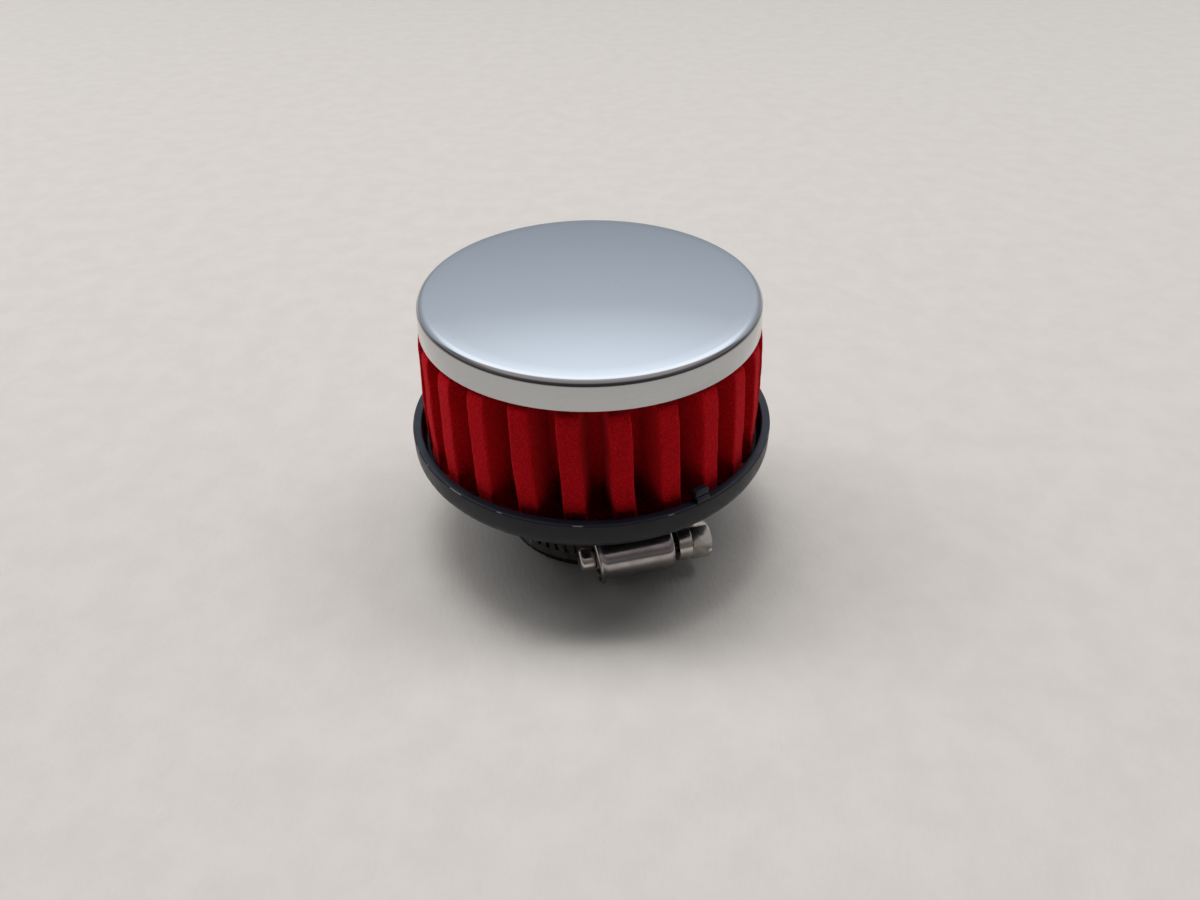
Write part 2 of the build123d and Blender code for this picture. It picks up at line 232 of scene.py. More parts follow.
# Clouding: soft uneven patches, of a density in patches per metre.
clouding, given, mask = effect("clouding", "Density")
clouds = noise(clouding, given["Vector"], given["Density"], 3.0, 0.6)
clouding.links.new(rising(clouding, clouds, 0.3, 0.7), mask)

bpy.ops.object.select_all(action="DESELECT")
bpy.ops.mesh.primitive_plane_add(size=8.0)
floor = bpy.context.object
floor.name = "table_top"
board, tree, shader = material(
    "paper_board", Roughness=0.75, Specular_IOR_Level=0.25, Emission_Color=(0.70, 0.67, 0.65, 1.0)
)
mottle = masked(tree, clouding, place_on(tree), Density=90.0)
tree.links.new(
    blended(tree, mottle, (0.680, 0.652, 0.630), (0.712, 0.684, 0.662)), shader["Base Color"]
)
distance = node(tree, "ShaderNodeVectorMath", {0: place_on(tree)}, operation="LENGTH")
unlit = rising(tree, distance.outputs["Value"], 0.3, 2.2, 0.0, 0.45)  # the lamp doesn't reach
tree.links.new(
    calculate(tree, "MULTIPLY", unlit, node(tree, "ShaderNodeLightPath").outputs["Is Camera Ray"]),
    shader["Emission Strength"],
)
fibres = noise(tree, place_on(tree, scale=(1.0, 0.35, 1.0), turn=(0, 0, 0.3)), 900.0, 3.0, 0.6)
tree.links.new(bump(tree, fibres, 0.00012), shader["Normal"])
floor.data.materials.append(board)


# Cap
# A shallow round lid pressed from 0.8 mm steel sheet and chrome plated, its crown a little
# domed and its edge rolled over into a short straight skirt that grips the foam.
cap_r, cap_edge_z, cap_crown, cap_edge_round = 38.95, 65.9, 1.2, 1.7
skirt_r, skirt_z, cap_sheet, lip_bevel = 39.3, 59.0, 0.8, 0.12
dark_line_drop = 1.05


def show_only(piece, mode="VERT"):
    """Opens one piece in edit mode with nothing of it selected."""
    bpy.ops.object.select_all(action="DESELECT")
    piece.select_set(True)
    bpy.context.view_layer.objects.active = piece
    bpy.ops.object.mode_set(mode="EDIT")
    bpy.ops.mesh.select_mode(type=mode)
    bpy.ops.mesh.select_all(action="DESELECT")


def pick(piece, test, what="verts"):
    """Selects the vertices, edges or faces whose every corner passes a test of its place."""
    mesh = bmesh.from_edit_mesh(piece.data)
    for part in getattr(mesh, what):
        corners = [part] if what == "verts" else part.verts
        part.select_set(all(test(corner.co) for corner in corners))
    bmesh.update_edit_mesh(piece.data)


def close_up(piece, smooth=40.0):
    """Merges doubles, turns faces outwards, and shades the piece smooth up to an angle."""
    show_only(piece)
    bpy.ops.mesh.select_all(action="SELECT")
    bpy.ops.mesh.remove_doubles(threshold=0.000002)
    bpy.ops.mesh.normals_make_consistent(inside=False)
    bpy.ops.object.mode_set(mode="OBJECT")
    bpy.ops.object.shade_smooth_by_angle(angle=math.radians(smooth))


def turned(name, stations, sides):
    """Shell turned about Z through (radius, height, corner round) stations in millimetres."""
    radius, height, _ = stations[0]
    bpy.ops.object.select_all(action="DESELECT")
    bpy.ops.mesh.primitive_circle_add(
        vertices=sides, radius=radius * MM, location=(0, 0, height * MM)
    )
    piece = bpy.context.object
    piece.name = name
    bpy.ops.object.transform_apply(location=True)
    show_only(piece)
    bpy.ops.mesh.select_all(action="SELECT")
    for next_radius, next_height, _ in stations[1:]:
        bpy.ops.mesh.extrude_region_move(
            TRANSFORM_OT_translate={"value": (0, 0, (next_height - height) * MM)}
        )
        growth = next_radius / radius
        bpy.ops.transform.resize(
            value=(growth, growth, 1), center_override=(0, 0, next_height * MM)
        )
        radius, height = next_radius, next_height
    bpy.ops.mesh.select_all(action="SELECT")
    bpy.ops.mesh.remove_doubles(threshold=0.000002)
    bpy.ops.mesh.normals_make_consistent(inside=False)
    for radius, height, corner in stations:
        if corner:
            bpy.ops.mesh.select_mode(type="EDGE")
            pick(piece, lambda co: abs(co.z - height * MM) < 2e-6
                 and abs(co.xy.length - radius * MM) < 2e-6, "edges")
            segments = 10 if corner > 0.5 else 4
            bpy.ops.mesh.bevel(offset=corner * MM, segments=segments, affect="EDGES")
    bpy.ops.object.mode_set(mode="OBJECT")
    return piece


def modify(piece, kind, **settings):
    """Gives the piece a modifier and applies it."""
    bpy.ops.object.select_all(action="DESELECT")
    piece.select_set(True)
    bpy.context.view_layer.objects.active = piece
    added = piece.modifiers.new(kind.lower(), kind)
    for name, value in settings.items():
        setattr(added, name, value)
    bpy.ops.object.modifier_apply(modifier=added.name)


# Dust: a few specks, each in its own cell of a grid of cells. Share is how many cells have one.
dust, given, mask = effect("fine_dust", "Size", "Share")
per_metre = calculate(dust, "DIVIDE", 0.3, given["Size"])
cells = node(dust, "ShaderNodeTexVoronoi", {"Vector": given["Vector"], "Scale": per_metre})
chance = node(dust, "ShaderNodeSeparateColor", {"Color": cells.outputs["Color"]}).outputs["Red"]
dust.links.new(
    calculate(
        dust, "MULTIPLY",
        calculate(dust, "LESS_THAN", chance, given["Share"]),
        calculate(dust, "LESS_THAN", cells.outputs["Distance"], 0.18),
    ), mask,
)

# Nicks: short bare places along a round edge of some radius and height.
nicks, given, mask = effect("edge_nicks", "Radius", "Height", "Width", "Share")
flat = node(nicks, "ShaderNodeVectorMath", {0: given["Vector"], 1: (1, 1, 0)}, operation="MULTIPLY")
from_axis = node(nicks, "ShaderNodeVectorMath", {0: flat.outputs["Vector"]}, operation="LENGTH")
above = node(nicks, "ShaderNodeSeparateXYZ", {"Vector": given["Vector"]}).outputs["Z"]
across = calculate(nicks, "SUBTRACT", from_axis.outputs["Value"], given["Radius"])
upward = calculate(nicks, "SUBTRACT", above, given["Height"])
away = calculate(
    nicks, "SQRT",
    calculate(nicks, "MULTIPLY_ADD", across, across, calculate(nicks, "MULTIPLY", upward, upward)),
)
patches = noise(nicks, given["Vector"], 180.0, 1.0, 0.5)
scratches = noise(nicks, given["Vector"], 330.0, 0.0, 0.5)
rough_edge = calculate(nicks, "MULTIPLY", calculate(nicks, "ADD", patches, scratches), 0.5)
least = calculate(nicks, "SUBTRACT", 0.72, given["Share"])
nicks.links.new(
    calculate(
        nicks, "MULTIPLY",
        rising(nicks, away, 0.0, given["Width"], 1.0, 0.0),
        rising(nicks, rough_edge, least, calculate(nicks, "ADD", least, 0.04)),
    ), mask,
)


sphere_r = (cap_r**2 + cap_crown**2) / (2 * cap_crown)
crown = []
for step in range(9):
    radius = cap_r * (1 - step / 9)  # the rounded edge takes the first of these
    height = cap_edge_z + math.sqrt(sphere_r**2 - radius**2) - sphere_r + cap_crown
    crown.append((radius, height, 0))
crown[0] = (cap_r, cap_edge_z, cap_edge_round)
cap = turned("chrome_cap", [(skirt_r, skirt_z, 0)] + crown + [(0, cap_edge_z + cap_crown, 0)], 384)
modify(cap, "SOLIDIFY", thickness=cap_sheet * MM, offset=-1.0, use_quality_normals=True)
modify(
    cap, "BEVEL", width=lip_bevel * MM, segments=2, limit_method="ANGLE",
    angle_limit=math.radians(50),
)
close_up(cap)

chrome, tree, shader = material("chrome_plate", Metallic=1.0)
hand_marks = masked(tree, clouding, place_on(tree), Density=60.0)
tree.links.new(blended(tree, hand_marks, 0.045, 0.10), shader["Roughness"])
specks = masked(tree, dust, place_on(tree), Size=0.0003, Share=0.004)
lip = masked(
    tree, nicks, place_on(tree), Radius=skirt_r * MM, Height=skirt_z * MM, Width=0.0005, Share=0.11
)
marks = calculate(tree, "MULTIPLY", calculate(tree, "MAXIMUM", specks, lip), 0.45)
# A fine dark line along the foot of the rolled edge is painted into the plating's colour: a painted
# reflection of the dim room that the curved edge mirrors.
above = node(tree, "ShaderNodeSeparateXYZ", {"Vector": place_on(tree)}).outputs["Z"]
from_line = calculate(
    tree, "ABSOLUTE", calculate(tree, "SUBTRACT", above, (cap_edge_z - dark_line_drop) * MM)
)
painted_reflection_line = rising(tree, from_line, 0.0001, 0.00045, 1.0, 0.0)
tree.links.new(
    blended(
        tree, calculate(tree, "MAXIMUM", marks, painted_reflection_line), (0.51, 0.52, 0.525), (0.17, 0.16, 0.16)
    ),
    shader["Base Color"],
)
waves = noise(tree, place_on(tree), 140.0, 2.0)
tree.links.new(bump(tree, waves, 0.00001, 0.35), shader["Normal"])
cap.data.materials.append(chrome)
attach(cap, "filter")
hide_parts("cap")


# Foam element
# Red open-cell filter foam, one thick ring with 24 upright pleats cut in its outside. Its foot
# stands in the tray, and the cap's skirt pinches its shoulder in.
pleats, tip_r, floor_r, tip_w, groove_floor_w = 24, 40.7, 31.7, 4.9, 2.6
foam_low_z, foam_top_z, foam_bore_r = 27.9, 64.8, 26.2
shoulder_z, shoulder_end_z, belly_z = 58.7, 56.9, 41.9
held_r, pleat_top_r, pleat_turn = 37.85, 39.8, 2.2

random.seed(11)
pitch = 2 * math.pi / pleats
groove_share = (pitch - tip_w / tip_r) / pitch
bpy.ops.object.select_all(action="DESELECT")
bpy.ops.mesh.primitive_circle_add(
    vertices=2 * pleats, radius=tip_r * MM, location=(0, 0, foam_low_z * MM)
)
foam = bpy.context.object
foam.name = "pleated_foam"
foam.rotation_euler = (0, 0, pitch / 4)
bpy.ops.object.transform_apply(location=True, rotation=True)
show_only(foam)
bpy.ops.mesh.select_all(action="SELECT")
bpy.ops.mesh.extrude_region_move(
    TRANSFORM_OT_translate={"value": (0, 0, (foam_top_z - foam_low_z) * MM)}
)
bpy.ops.mesh.select_all(action="SELECT")
bpy.ops.mesh.normals_make_consistent(inside=False)
bpy.ops.mesh.select_mode(type="FACE")
mesh = bmesh.from_edit_mesh(foam.data)
bpy.ops.mesh.select_all(action="DESELECT")
for face in mesh.faces:
    turn = math.atan2(face.calc_center_median().x, -face.calc_center_median().y) / pitch
    face.select_set(abs(turn - round(turn)) < 0.25)
bmesh.update_edit_mesh(foam.data)
bpy.ops.mesh.extrude_faces_move(TRANSFORM_OT_shrink_fatten={"value": -(tip_r - floor_r) * MM})
mesh = bmesh.from_edit_mesh(foam.data)
narrow = groove_floor_w / (2 * tip_r * math.sin(pitch / 4)) * 0.5 / groove_share
for centre in [face.calc_center_median() for face in mesh.faces if face.select]:
    bpy.ops.mesh.select_all(action="DESELECT")
    mesh = bmesh.from_edit_mesh(foam.data)
    for face in mesh.faces:
        face.select_set((face.calc_center_median() - centre).length < 1e-5)
    bmesh.update_edit_mesh(foam.data)
    bpy.ops.transform.resize(value=(narrow, narrow, 1), center_override=centre)
bpy.ops.mesh.select_mode(type="EDGE")


def upright(edge):
    """True for an edge that stands straight up."""
    return (edge.verts[0].co.xy - edge.verts[1].co.xy).length < 1e-7


# The edges of the pleats' tips are rounded first, then those of the grooves' floors.
for low, high, rounding in ((36.0, 45.0, 0.7), (25.0, 36.0, 0.9)):
    mesh = bmesh.from_edit_mesh(foam.data)
    bpy.ops.mesh.select_all(action="DESELECT")
    for edge in mesh.edges:
        edge.select_set(upright(edge) and low * MM < edge.verts[0].co.xy.length < high * MM)
    bmesh.update_edit_mesh(foam.data)
    bpy.ops.mesh.bevel(offset=rounding * MM, segments=4, affect="EDGES")

# Rows of faces, closer together where the foam's side bends.
rows = [28.6, 30.0, 33.0, 37.0, 42.0, 46.0, 50.0, 53.5, 55.8, 56.9, 57.6, 58.2, 58.8, 59.6, 62.0]
for row in rows:
    bpy.ops.mesh.select_all(action="SELECT")
    bpy.ops.mesh.bisect(plane_co=(0, 0, row * MM), plane_no=(0, 0, 1))

# The foam's two open ends turn in to the bore, and the bore's wall joins them.
mesh = bmesh.from_edit_mesh(foam.data)
bpy.ops.mesh.select_all(action="DESELECT")
for edge in mesh.edges:
    edge.select_set(all(abs(v.co.z - foam_top_z * MM) < 1e-6 for v in edge.verts))
bmesh.update_edit_mesh(foam.data)
bpy.ops.mesh.extrude_region_move(TRANSFORM_OT_translate={"value": (0, 0, 0)})
mesh = bmesh.from_edit_mesh(foam.data)
for corner in mesh.verts:
    if corner.select:
        corner.co.xy = corner.co.xy.normalized() * foam_bore_r * MM
bmesh.update_edit_mesh(foam.data)
bpy.ops.mesh.extrude_region_move(
    TRANSFORM_OT_translate={"value": (0, 0, (foam_low_z - foam_top_z) * MM)}
)
mesh = bmesh.from_edit_mesh(foam.data)
bpy.ops.mesh.select_all(action="DESELECT")
for edge in mesh.edges:
    edge.select_set(all(abs(v.co.z - foam_low_z * MM) < 1e-6 for v in edge.verts))
bmesh.update_edit_mesh(foam.data)
bpy.ops.mesh.bridge_edge_loops()
bpy.ops.object.mode_set(mode="OBJECT")


def foam_side(height):
    """Radius of the pleats' tips at a height, all in millimetres."""
    places = [
        (foam_low_z, tip_r - 0.5), (foam_low_z + 0.7, tip_r), (belly_z, tip_r),
        (shoulder_end_z - 1.0, pleat_top_r + 0.1), (shoulder_end_z, pleat_top_r - 0.15),
        (57.6, 39.45), (58.2, 38.9), (shoulder_z, held_r), (foam_top_z, held_r),
    ]
    for (low, low_r), (high, high_r) in zip(places, places[1:]):
        if height <= high:
            return low_r + (high_r - low_r) * (height - low) / (high - low)
    return held_r


# No two pleats are cut quite alike: each leans, swells and sits a little differently.
lean = [random.uniform(-0.35, 0.35) for _ in range(pleats)]
swell = [random.uniform(-0.25, 0.15) for _ in range(pleats)]
sway = [(random.uniform(0, 6.3), random.uniform(0.10, 0.30)) for _ in range(pleats)]
for corner in foam.data.vertices:
    radius, height = corner.co.xy.length / MM, corner.co.z / MM
    if radius > foam_bore_r + 0.5:
        turn = math.atan2(corner.co.x, -corner.co.y)
        pleat = int(turn // pitch) % pleats
        place = turn / pitch - round(turn / pitch)
        wide = place * 2 * groove_share
        if abs(place) > 0.25:
            wide = math.copysign(0.5 - (0.5 - abs(place)) * 2 * (1 - groove_share), place)
        turn += (wide - place) * pitch
        out = (radius - floor_r) / (tip_r - floor_r)
        free = max(0.0, min(1.0, (shoulder_end_z - height) / 6.0, (height - foam_low_z) / 4.0))
        tip = foam_side(height) + swell[pleat] * free
        radius = floor_r + out * (tip - floor_r)
        start, size = sway[pleat]
        side = lean[pleat] * free + size * free * math.sin(start + height * 0.28)
        turn += max(0.0, out) * side / tip_r + math.radians(pleat_turn)
        turn += math.radians(1.2 - 3.0 * (height - foam_low_z) / (foam_top_z - foam_low_z))
        corner.co.x = radius * math.sin(turn) * MM
        corner.co.y = -radius * math.cos(turn) * MM
close_up(foam, 180.0)
modify(foam, "SUBSURF", levels=2, render_levels=2)
lumps = bpy.data.textures.new("foam_lumps", "CLOUDS")
lumps.noise_scale = 0.0035
modify(foam, "DISPLACE", texture=lumps, strength=0.00022, mid_level=0.5, texture_coords="OBJECT")
bpy.ops.object.shade_smooth()

red_foam, tree, shader = material(
    "red_filter_foam",
    Roughness=0.9, Specular_IOR_Level=0.06, Sheen_Weight=0.11, Sheen_Roughness=0.4,
    Sheen_Tint=(1.0, 0.20, 0.22, 1.0), Subsurface_Weight=0.15,
    Subsurface_Radius=(1.0, 0.12, 0.10), Subsurface_Scale=0.0008,
)
cells = node(tree, "ShaderNodeTexVoronoi", {"Vector": place_on(tree), "Scale": 2900.0},
             feature="SMOOTH_F1").outputs["Distance"]
grain = noise(tree, place_on(tree), 4200.0, 2.0, 0.6)
pores = calculate(tree, "MULTIPLY", cells, grain)
dye = ramp(
    tree, pores,
    (0.05, (0.36, 0.002, 0.005)),
    (0.22, (0.60, 0.004, 0.011)),
    (0.50, (0.78, 0.012, 0.022)),
)
tree.links.new(dye, shader["Base Color"])
tree.links.new(bump(tree, pores, 0.0003, 0.7), shader["Normal"])
foam.data.materials.append(red_foam)
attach(foam, "filter")
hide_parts("foam_element")


# Base tray
# A shallow round tray moulded in black plastic with a rounded under edge. A small lug stands
# inside its rim, and an arched bridge over the neck takes the stud that pulls the cap down.
tray_r, tray_in_r, tray_hole_r = 44.0, 41.8, 22.9
tray_low_z, tray_floor_z, rim_z = 25.5, 27.9, 33.0
lug_azimuth, lug_w, lug_in_r, lug_out_r = 34.0, 3.6, 41.2, 43.1
lug_rise, toe_rise, toe_short, toe_inset = 2.6, 1.1, 0.3, 0.02
bridge_w, bridge_leg_out, bridge_leg_t, bridge_top_z, bridge_bar_t = 8.0, 24.58, 2.0, 39.5, 3.5
boss_r, boss_low_z, stud_hole_r = 6.5, 35.2, 2.6


def block(name, low, high, soft):
    """Rounded block between two corners, in millimetres."""
    middle = [(a + b) / 2 * MM for a, b in zip(low, high)]
    bpy.ops.object.select_all(action="DESELECT")
    bpy.ops.mesh.primitive_cube_add(size=1.0, location=middle)
    piece = bpy.context.object
    piece.name = name
    piece.scale = [(b - a) * MM for a, b in zip(low, high)]
    bpy.ops.object.transform_apply(location=True, rotation=True, scale=True)
    modify(piece, "BEVEL", width=soft * MM, segments=3, limit_method="ANGLE")
    return piece


def join(main, *others):
    """Joins other pieces into the first one."""
    bpy.ops.object.select_all(action="DESELECT")
    for piece in (main, *others):
        piece.select_set(True)
    bpy.context.view_layer.objects.active = main
    bpy.ops.object.join()


tray = turned("base_tray_shell", [
    (tray_hole_r, tray_low_z, 0),
    (tray_r, tray_low_z, 3.5),
    (tray_r, rim_z, 0.45),
    (tray_in_r, rim_z, 0.4),
    (tray_in_r, tray_floor_z, 1.0),
    (tray_hole_r, tray_floor_z, 0),
    (tray_hole_r, tray_low_z, 0),
], 256)
lug = block(
    "lug", (lug_in_r, -lug_w / 2, tray_floor_z - 1.0),
    (lug_out_r, lug_w / 2, rim_z + lug_rise), 0.35,
)
toe = block(
    "toe", (lug_out_r - 0.8, -lug_w / 2 + toe_inset, rim_z - 1.0),
    (tray_r - toe_short, lug_w / 2 - toe_inset, rim_z + toe_rise), 0.3,
)
join(lug, toe)
lug.rotation_euler = (0, 0, math.radians(lug_azimuth - 90))
bpy.ops.object.transform_apply(rotation=True)
bridge = block("bridge", (-bridge_leg_out, -bridge_w / 2, bridge_top_z - bridge_bar_t),
               (bridge_leg_out, bridge_w / 2, bridge_top_z), 0.8)
for side in (-1, 1):
    ends = sorted((side * bridge_leg_out, side * (bridge_leg_out - bridge_leg_t)))
    leg = block("leg", (ends[0], -bridge_w / 2, tray_floor_z - 0.6),
                (ends[1], bridge_w / 2, bridge_top_z - 1.0), 0.4)
    join(bridge, leg)
boss = turned("boss", [
    (stud_hole_r, boss_low_z, 0),
    (boss_r, boss_low_z, 0.3),
    (boss_r, bridge_top_z - 0.4, 0),
    (stud_hole_r, bridge_top_z - 0.4, 0),
    (stud_hole_r, boss_low_z, 0),
], 48)
join(tray, lug, bridge, boss)
bpy.ops.object.shade_smooth_by_angle(angle=math.radians(40))

black_plastic, tree, shader = material("black_moulded_plastic", Specular_IOR_Level=0.28)
handling = masked(tree, clouding, place_on(tree), Density=220.0)
tree.links.new(blended(tree, handling, 0.33, 0.45), shader["Roughness"])
# Small pale grey marks along the rim's outer top edge.
pale_rim_marks = masked(
    tree, nicks, place_on(tree),
    Radius=(tray_r - 0.1) * MM, Height=(rim_z - 0.1) * MM, Width=0.0002, Share=0.12,
)
above = node(tree, "ShaderNodeSeparateXYZ", {"Vector": place_on(tree)}).outputs["Z"]
# The rim's top face is painted a lighter blue-grey than the rest of the tray, a painted sheen for
# that face's brighter gloss.
painted_rim_sheen = rising(tree, above, (rim_z - 0.3) * MM, (rim_z - 0.05) * MM)
moulded = blended(tree, painted_rim_sheen, (0.0020, 0.0032, 0.0064), (0.008, 0.011, 0.019))
tree.links.new(
    node(
        tree, "ShaderNodeMix", {0: pale_rim_marks, 6: moulded, 7: (0.32, 0.32, 0.32, 1.0)}, data_type="RGBA"
    ).outputs[2],
    shader["Base Color"],
)
tree.links.new(bump(tree, noise(tree, place_on(tree), 1600.0, 2.0), 0.00003, 0.5), shader["Normal"])
tray.data.materials.append(black_plastic)
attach(tray, "filter")
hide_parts("base_tray")


# Neck sleeve
# A soft black rubber sleeve, 42 mm inside, that slips over the carburettor's mouth. Its flange
# sits under the tray, and the clamp's feet press their own pockets into its wall.
def fair_copy(name, of):
    """Smooth copy of a CAD node, its loose triangles merged into one skin."""
    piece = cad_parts[of].copy()
    piece.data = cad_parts[of].data.copy()
    piece.name = name
    for key in [key for key in piece.keys() if key.startswith("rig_")]:
        del piece[key]
    piece.parent = None
    bpy.context.scene.collection.objects.link(piece)
    piece.data.materials.clear()
    close_up(piece, 30.0)
    return piece


neck = fair_copy("neck_rubber_sleeve", "neck_sleeve")
rubber, tree, shader = material("black_rubber", Specular_IOR_Level=0.35)
bloom = masked(tree, clouding, place_on(tree), Density=130.0)
tree.links.new(
    blended(tree, bloom, (0.010, 0.010, 0.011), (0.020, 0.0195, 0.020)), shader["Base Color"]
)
tree.links.new(blended(tree, bloom, 0.50, 0.66), shader["Roughness"])
tree.links.new(bump(tree, noise(tree, place_on(tree), 2200.0, 3.0), 0.00004, 0.6), shader["Normal"])
neck.data.materials.append(rubber)
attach(neck, "filter")
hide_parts("neck_sleeve")


# Inner metalwork
# Zinc-plated steel inside the foam: a slotted support tube, the dish under the cap, and the
# stud with its washers and nut that hold the cap, the foam and the tray together.
zinc, tree, shader = material("zinc_plated_steel", Metallic=1.0)
spangle = masked(tree, clouding, place_on(tree), Density=320.0)
tree.links.new(
    blended(tree, spangle, (0.40, 0.40, 0.385), (0.56, 0.565, 0.56)), shader["Base Color"]
)
tree.links.new(blended(tree, spangle, 0.42, 0.26), shader["Roughness"])
tree.links.new(bump(tree, noise(tree, place_on(tree), 900.0, 2.0), 0.00002, 0.5), shader["Normal"])
for name, of in (
    ("slotted_support_tube", "support_tube"),
    ("cap_dish", "stud_dish"),
    ("long_stud", "cap_stud"),
    ("flat_washer", "bridge_washer"),
    ("spring_washer", "lock_washer"),
    ("hex_nut", "stud_nut"),
):
    piece = fair_copy(name, of)
    piece.data.materials.append(zinc)
    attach(piece, "filter")
    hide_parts(of)


# Clamp band
# A thin stainless strip wound once round the sleeve and back over itself, its tail cut round.
# Slanted slots pressed through it are the thread that the worm screw pulls on.
band = fair_copy("slotted_clamp_band", "clamp_band")


# Brushing: fine lines that a stretched vector draws along one way of a metal surface.
brushing, given, mask = effect("brushing", "Density")
brushing.links.new(noise(brushing, given["Vector"], given["Density"], 3.0, 0.6), mask)

band_steel, tree, shader = material("stainless_strip", Metallic=1.0)
stain = masked(tree, clouding, place_on(tree), Density=250.0)
# The band's steel is painted much darker than bare stainless, a painted shade for the shadow under
# the tray; patches vary its tone.
tree.links.new(blended(tree, stain, (0.13, 0.122, 0.12), (0.21, 0.197, 0.19)), shader["Base Color"])
tree.links.new(blended(tree, stain, 0.30, 0.22), shader["Roughness"])
lines = masked(tree, brushing, place_on(tree, scale=(0.15, 0.15, 1.0)), Density=2500.0)
tree.links.new(bump(tree, lines, 0.00001, 0.5), shader["Normal"])
band.data.materials.append(band_steel)
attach(band, "filter")
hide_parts("clamp_band")


# Clamp housing
# A tunnel pressed from 0.75 mm stainless sheet over the screw, its near mouth flared and its
# two feet turned in under the band. The far end is closed round the screw's neck.
clamp_azimuth, clamp_z = 13.8, 8.5
screw_x, tunnel_r, housing_sheet = 27.85, 5.7, 0.75
housing_low_y, housing_high_y, foot_side_z = -6.7, 12.2, 6.35
bend_x, foot_x, foot_lip = 25.05, 22.4, 2.2
wall_y, wall_r, wall_t, neck_hole_r = housing_high_y - 0.2, tunnel_r - 0.9, 0.6, 2.4


def set_clamp(piece):
    """Puts a piece of the clamp, drawn with X out and Y along the screw, where the clamp sits."""
    bpy.ops.object.select_all(action="DESELECT")
    piece.select_set(True)
    bpy.context.view_layer.objects.active = piece
    piece.location = (0, 0, clamp_z * MM)
    piece.rotation_euler = (0, 0, math.radians(clamp_azimuth - 90))
    bpy.ops.object.transform_apply(location=True, rotation=True)


# Half a circle round the screw makes the arch, and its two ends run down into the feet.
arch_mid_r = tunnel_r - housing_sheet / 2
foot_mid_z = foot_side_z - housing_sheet / 2
bpy.ops.object.select_all(action="DESELECT")
bpy.ops.mesh.primitive_circle_add(
    vertices=48, radius=arch_mid_r * MM, location=(screw_x * MM, housing_low_y * MM, 0),
    rotation=(math.radians(90), 0, 0),
)
housing = bpy.context.object
housing.name = "clamp_screw_housing"
bpy.ops.object.transform_apply(location=True, rotation=True)
show_only(housing)
pick(housing, lambda co: co.x < (screw_x - 0.01) * MM)
bpy.ops.mesh.delete(type="VERT")
for side in (-1, 1):
    pick(housing, lambda co: abs(co.x - screw_x * MM) < 1e-6 and co.z * side > 0)
    bpy.ops.mesh.extrude_region_move(TRANSFORM_OT_translate={
        "value": ((bend_x - screw_x) * MM, 0, side * (foot_mid_z - arch_mid_r) * MM)})
    bpy.ops.mesh.extrude_region_move(
        TRANSFORM_OT_translate={"value": ((foot_x - bend_x) * MM, 0, 0)}
    )
    bpy.ops.mesh.extrude_region_move(
        TRANSFORM_OT_translate={"value": (0, 0, -side * foot_lip * MM)}
    )
bpy.ops.mesh.select_all(action="SELECT")
length = housing_high_y - housing_low_y
stations = [0.4, 0.9, 1.5, 2.3, 4.0, length / 2, length - 3.0, length - 1.2, length - 0.5, length]
last = 0.0
for station in stations:
    bpy.ops.mesh.extrude_region_move(
        TRANSFORM_OT_translate={"value": (0, (station - last) * MM, 0)}
    )
    last = station
bpy.ops.mesh.select_all(action="SELECT")
bpy.ops.mesh.normals_make_consistent(inside=False)

# The mouth: places along the housing, each with its flare in millimetres and slant in degrees.
bell = ((0.0, 0.95, 5.0), (0.4, 0.72, 4.2), (0.9, 0.42, 3.3), (1.5, 0.18, 2.3), (2.3, 0.04, 1.2))
for place, flare, slant in bell:
    pick(housing, lambda co: abs(co.y - (housing_low_y + place) * MM) < 1e-6
         and co.x > (bend_x + 1.2) * MM)
    growth = 1 + flare / arch_mid_r
    bpy.ops.transform.resize(
        value=(growth, 1, growth), center_override=(screw_x * MM, (housing_low_y + place) * MM, 0)
    )
    pick(housing, lambda co: abs(co.y - (housing_low_y + place) * MM) < 1e-6)
    bpy.ops.transform.rotate(
        value=math.radians(-slant), orient_axis="X",
        center_override=(screw_x * MM, (housing_low_y + place) * MM, foot_side_z * MM),
    )
# The far end closes in a little.
for place, close in ((length - 0.5, 0.12), (length, 0.45)):
    pick(housing, lambda co: abs(co.y - (housing_low_y + place) * MM) < 1e-6
         and co.x > (bend_x + 1.2) * MM)
    growth = 1 - close / arch_mid_r
    bpy.ops.transform.resize(
        value=(growth, 1, growth), center_override=(screw_x * MM, (housing_low_y + place) * MM, 0)
    )
bpy.ops.object.mode_set(mode="OBJECT")
close_up(housing, 60.0)
modify(housing, "SOLIDIFY", thickness=housing_sheet * MM, offset=0.0, use_quality_normals=True)
modify(
    housing, "BEVEL", width=0.16 * MM, segments=3, limit_method="ANGLE",
    angle_limit=math.radians(50),
)

# The far end's wall, with a round hole for the screw's neck.
bpy.ops.object.select_all(action="DESELECT")
bpy.ops.mesh.primitive_circle_add(
    vertices=64, radius=wall_r * MM, location=(screw_x * MM, wall_y * MM, 0),
    rotation=(math.radians(90), 0, 0),
)
wall = bpy.context.object
bpy.ops.object.transform_apply(location=True, rotation=True)
show_only(wall)
bpy.ops.mesh.select_all(action="SELECT")
bpy.ops.mesh.extrude_region_move(TRANSFORM_OT_translate={"value": (0, 0, 0)})
inner = neck_hole_r / wall_r
bpy.ops.transform.resize(
    value=(inner, 1, inner), center_override=(screw_x * MM, wall_y * MM, 0)
)
bpy.ops.object.mode_set(mode="OBJECT")
modify(wall, "SOLIDIFY", thickness=wall_t * MM, offset=-1.0)
join(housing, wall)
bpy.ops.object.shade_smooth_by_angle(angle=math.radians(40))
set_clamp(housing)

pressed_steel, tree, shader = material("pressed_stainless", Metallic=1.0)
stain = masked(tree, clouding, place_on(tree), Density=300.0)
